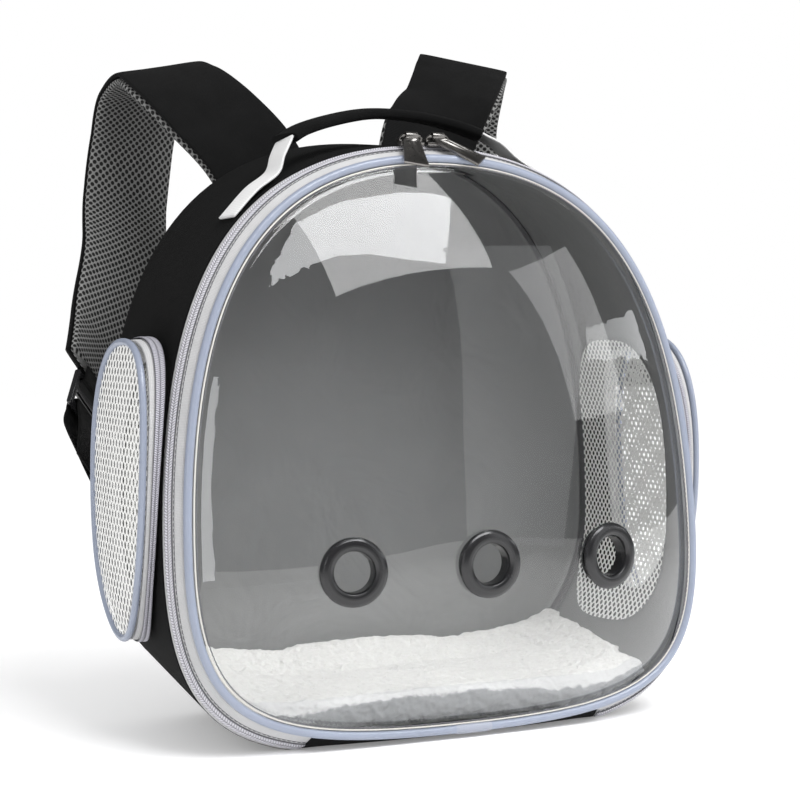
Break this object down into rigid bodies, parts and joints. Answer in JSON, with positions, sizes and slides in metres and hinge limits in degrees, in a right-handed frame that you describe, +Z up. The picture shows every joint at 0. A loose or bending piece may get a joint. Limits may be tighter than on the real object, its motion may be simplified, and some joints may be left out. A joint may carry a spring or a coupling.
{
  "type": "small animal carrier backpack",
  "caption": "Arched backpack for a small animal, with a clear bulged front window, vent eyelets, netted side pockets, a plush mat and padded straps.",
  "frame": {"origin": "middle of the flat base on the ground", "axes": "+Z up, +X to the right seen from the front, the clear front faces -Y and the straps +Y"},
  "size_m": [0.3962, 0.321, 0.4493],
  "materials": {
    "black_cloth": "matt woven cloth",
    "grey_lining": "satin lining cloth",
    "plush": "short plush pile",
    "lilac_tape": "pale woven zip cloth",
    "zip_coil": "satin nylon coil",
    "blue_piping": "satin covered cord",
    "clear_sheet": "clear flexible sheet",
    "gloss_black": "gloss moulded plastic",
    "white_net": "open net",
    "air_mesh": "padded air mesh",
    "black_webbing": "woven webbing",
    "white_webbing": "woven webbing",
    "dark_metal": "polished dark nickel"
  },
  "bodies": {
    "carrier": {"shell": "black_cloth", "lining": "grey_lining", "back_pad": "black_cloth", "floor_pad": "plush", "door_zip_band": "lilac_tape", "door_zip_chain": "zip_coil", "door_hinge_strip": "black_cloth", "door_piping": "blue_piping", "dome_window": "clear_sheet", "grommet_left": "gloss_black", "grommet_centre": "gloss_black", "grommet_right": "gloss_black", "pocket_gusset_left": "lilac_tape", "pocket_zip_chain_left": "zip_coil", "pocket_piping_left": "blue_piping", "pocket_net_left": "white_net", "inner_net_left": "white_net", "strap_cover_left": "black_cloth", "strap_mesh_left": "air_mesh", "ladder_lock_left": "gloss_black", "lock_loop_left": "black_webbing", "strap_webbing_left": "black_webbing", "door_slider_left": "dark_metal", "pocket_slider_left": "dark_metal", "pocket_gusset_right": "lilac_tape", "pocket_zip_chain_right": "zip_coil", "pocket_piping_right": "blue_piping", "pocket_net_right": "white_net", "inner_net_right": "white_net", "strap_cover_right": "black_cloth", "strap_mesh_right": "air_mesh", "ladder_lock_right": "gloss_black", "lock_loop_right": "black_webbing", "strap_webbing_right": "black_webbing", "door_slider_right": "dark_metal", "pocket_slider_right": "dark_metal", "handle_webbing_left": "white_webbing", "handle_grip": "black_cloth", "handle_webbing_right": "white_webbing"},
    "door_pull_left": {"door_pull_left": "dark_metal"},
    "pocket_pull_left": {"pocket_pull_left": "dark_metal"},
    "door_pull_right": {"door_pull_right": "dark_metal"},
    "pocket_pull_right": {"pocket_pull_right": "dark_metal"}
  },
  "joints": [
    {"name": "door_pull_left_hinge", "type": "hinge", "parent": "carrier", "child": "door_pull_left", "pos_m": [-0.01516, -0.03833, 0.37018], "axis": [-1, 0, 0], "range_deg": [0, 165]},
    {"name": "door_pull_right_hinge", "type": "hinge", "parent": "carrier", "child": "door_pull_right", "pos_m": [0.00342, -0.0383, 0.37056], "axis": [-1, 0, 0], "range_deg": [0, 165]},
    {"name": "pocket_pull_left_hinge", "type": "hinge", "parent": "carrier", "child": "pocket_pull_left", "pos_m": [-0.18455, 0.05088, 0.20266], "axis": [1, 0, 0], "range_deg": [0, 150]},
    {"name": "pocket_pull_right_hinge", "type": "hinge", "parent": "carrier", "child": "pocket_pull_right", "pos_m": [0.18455, 0.05088, 0.20266], "axis": [1, 0, 0], "range_deg": [0, 150]}
  ]
}
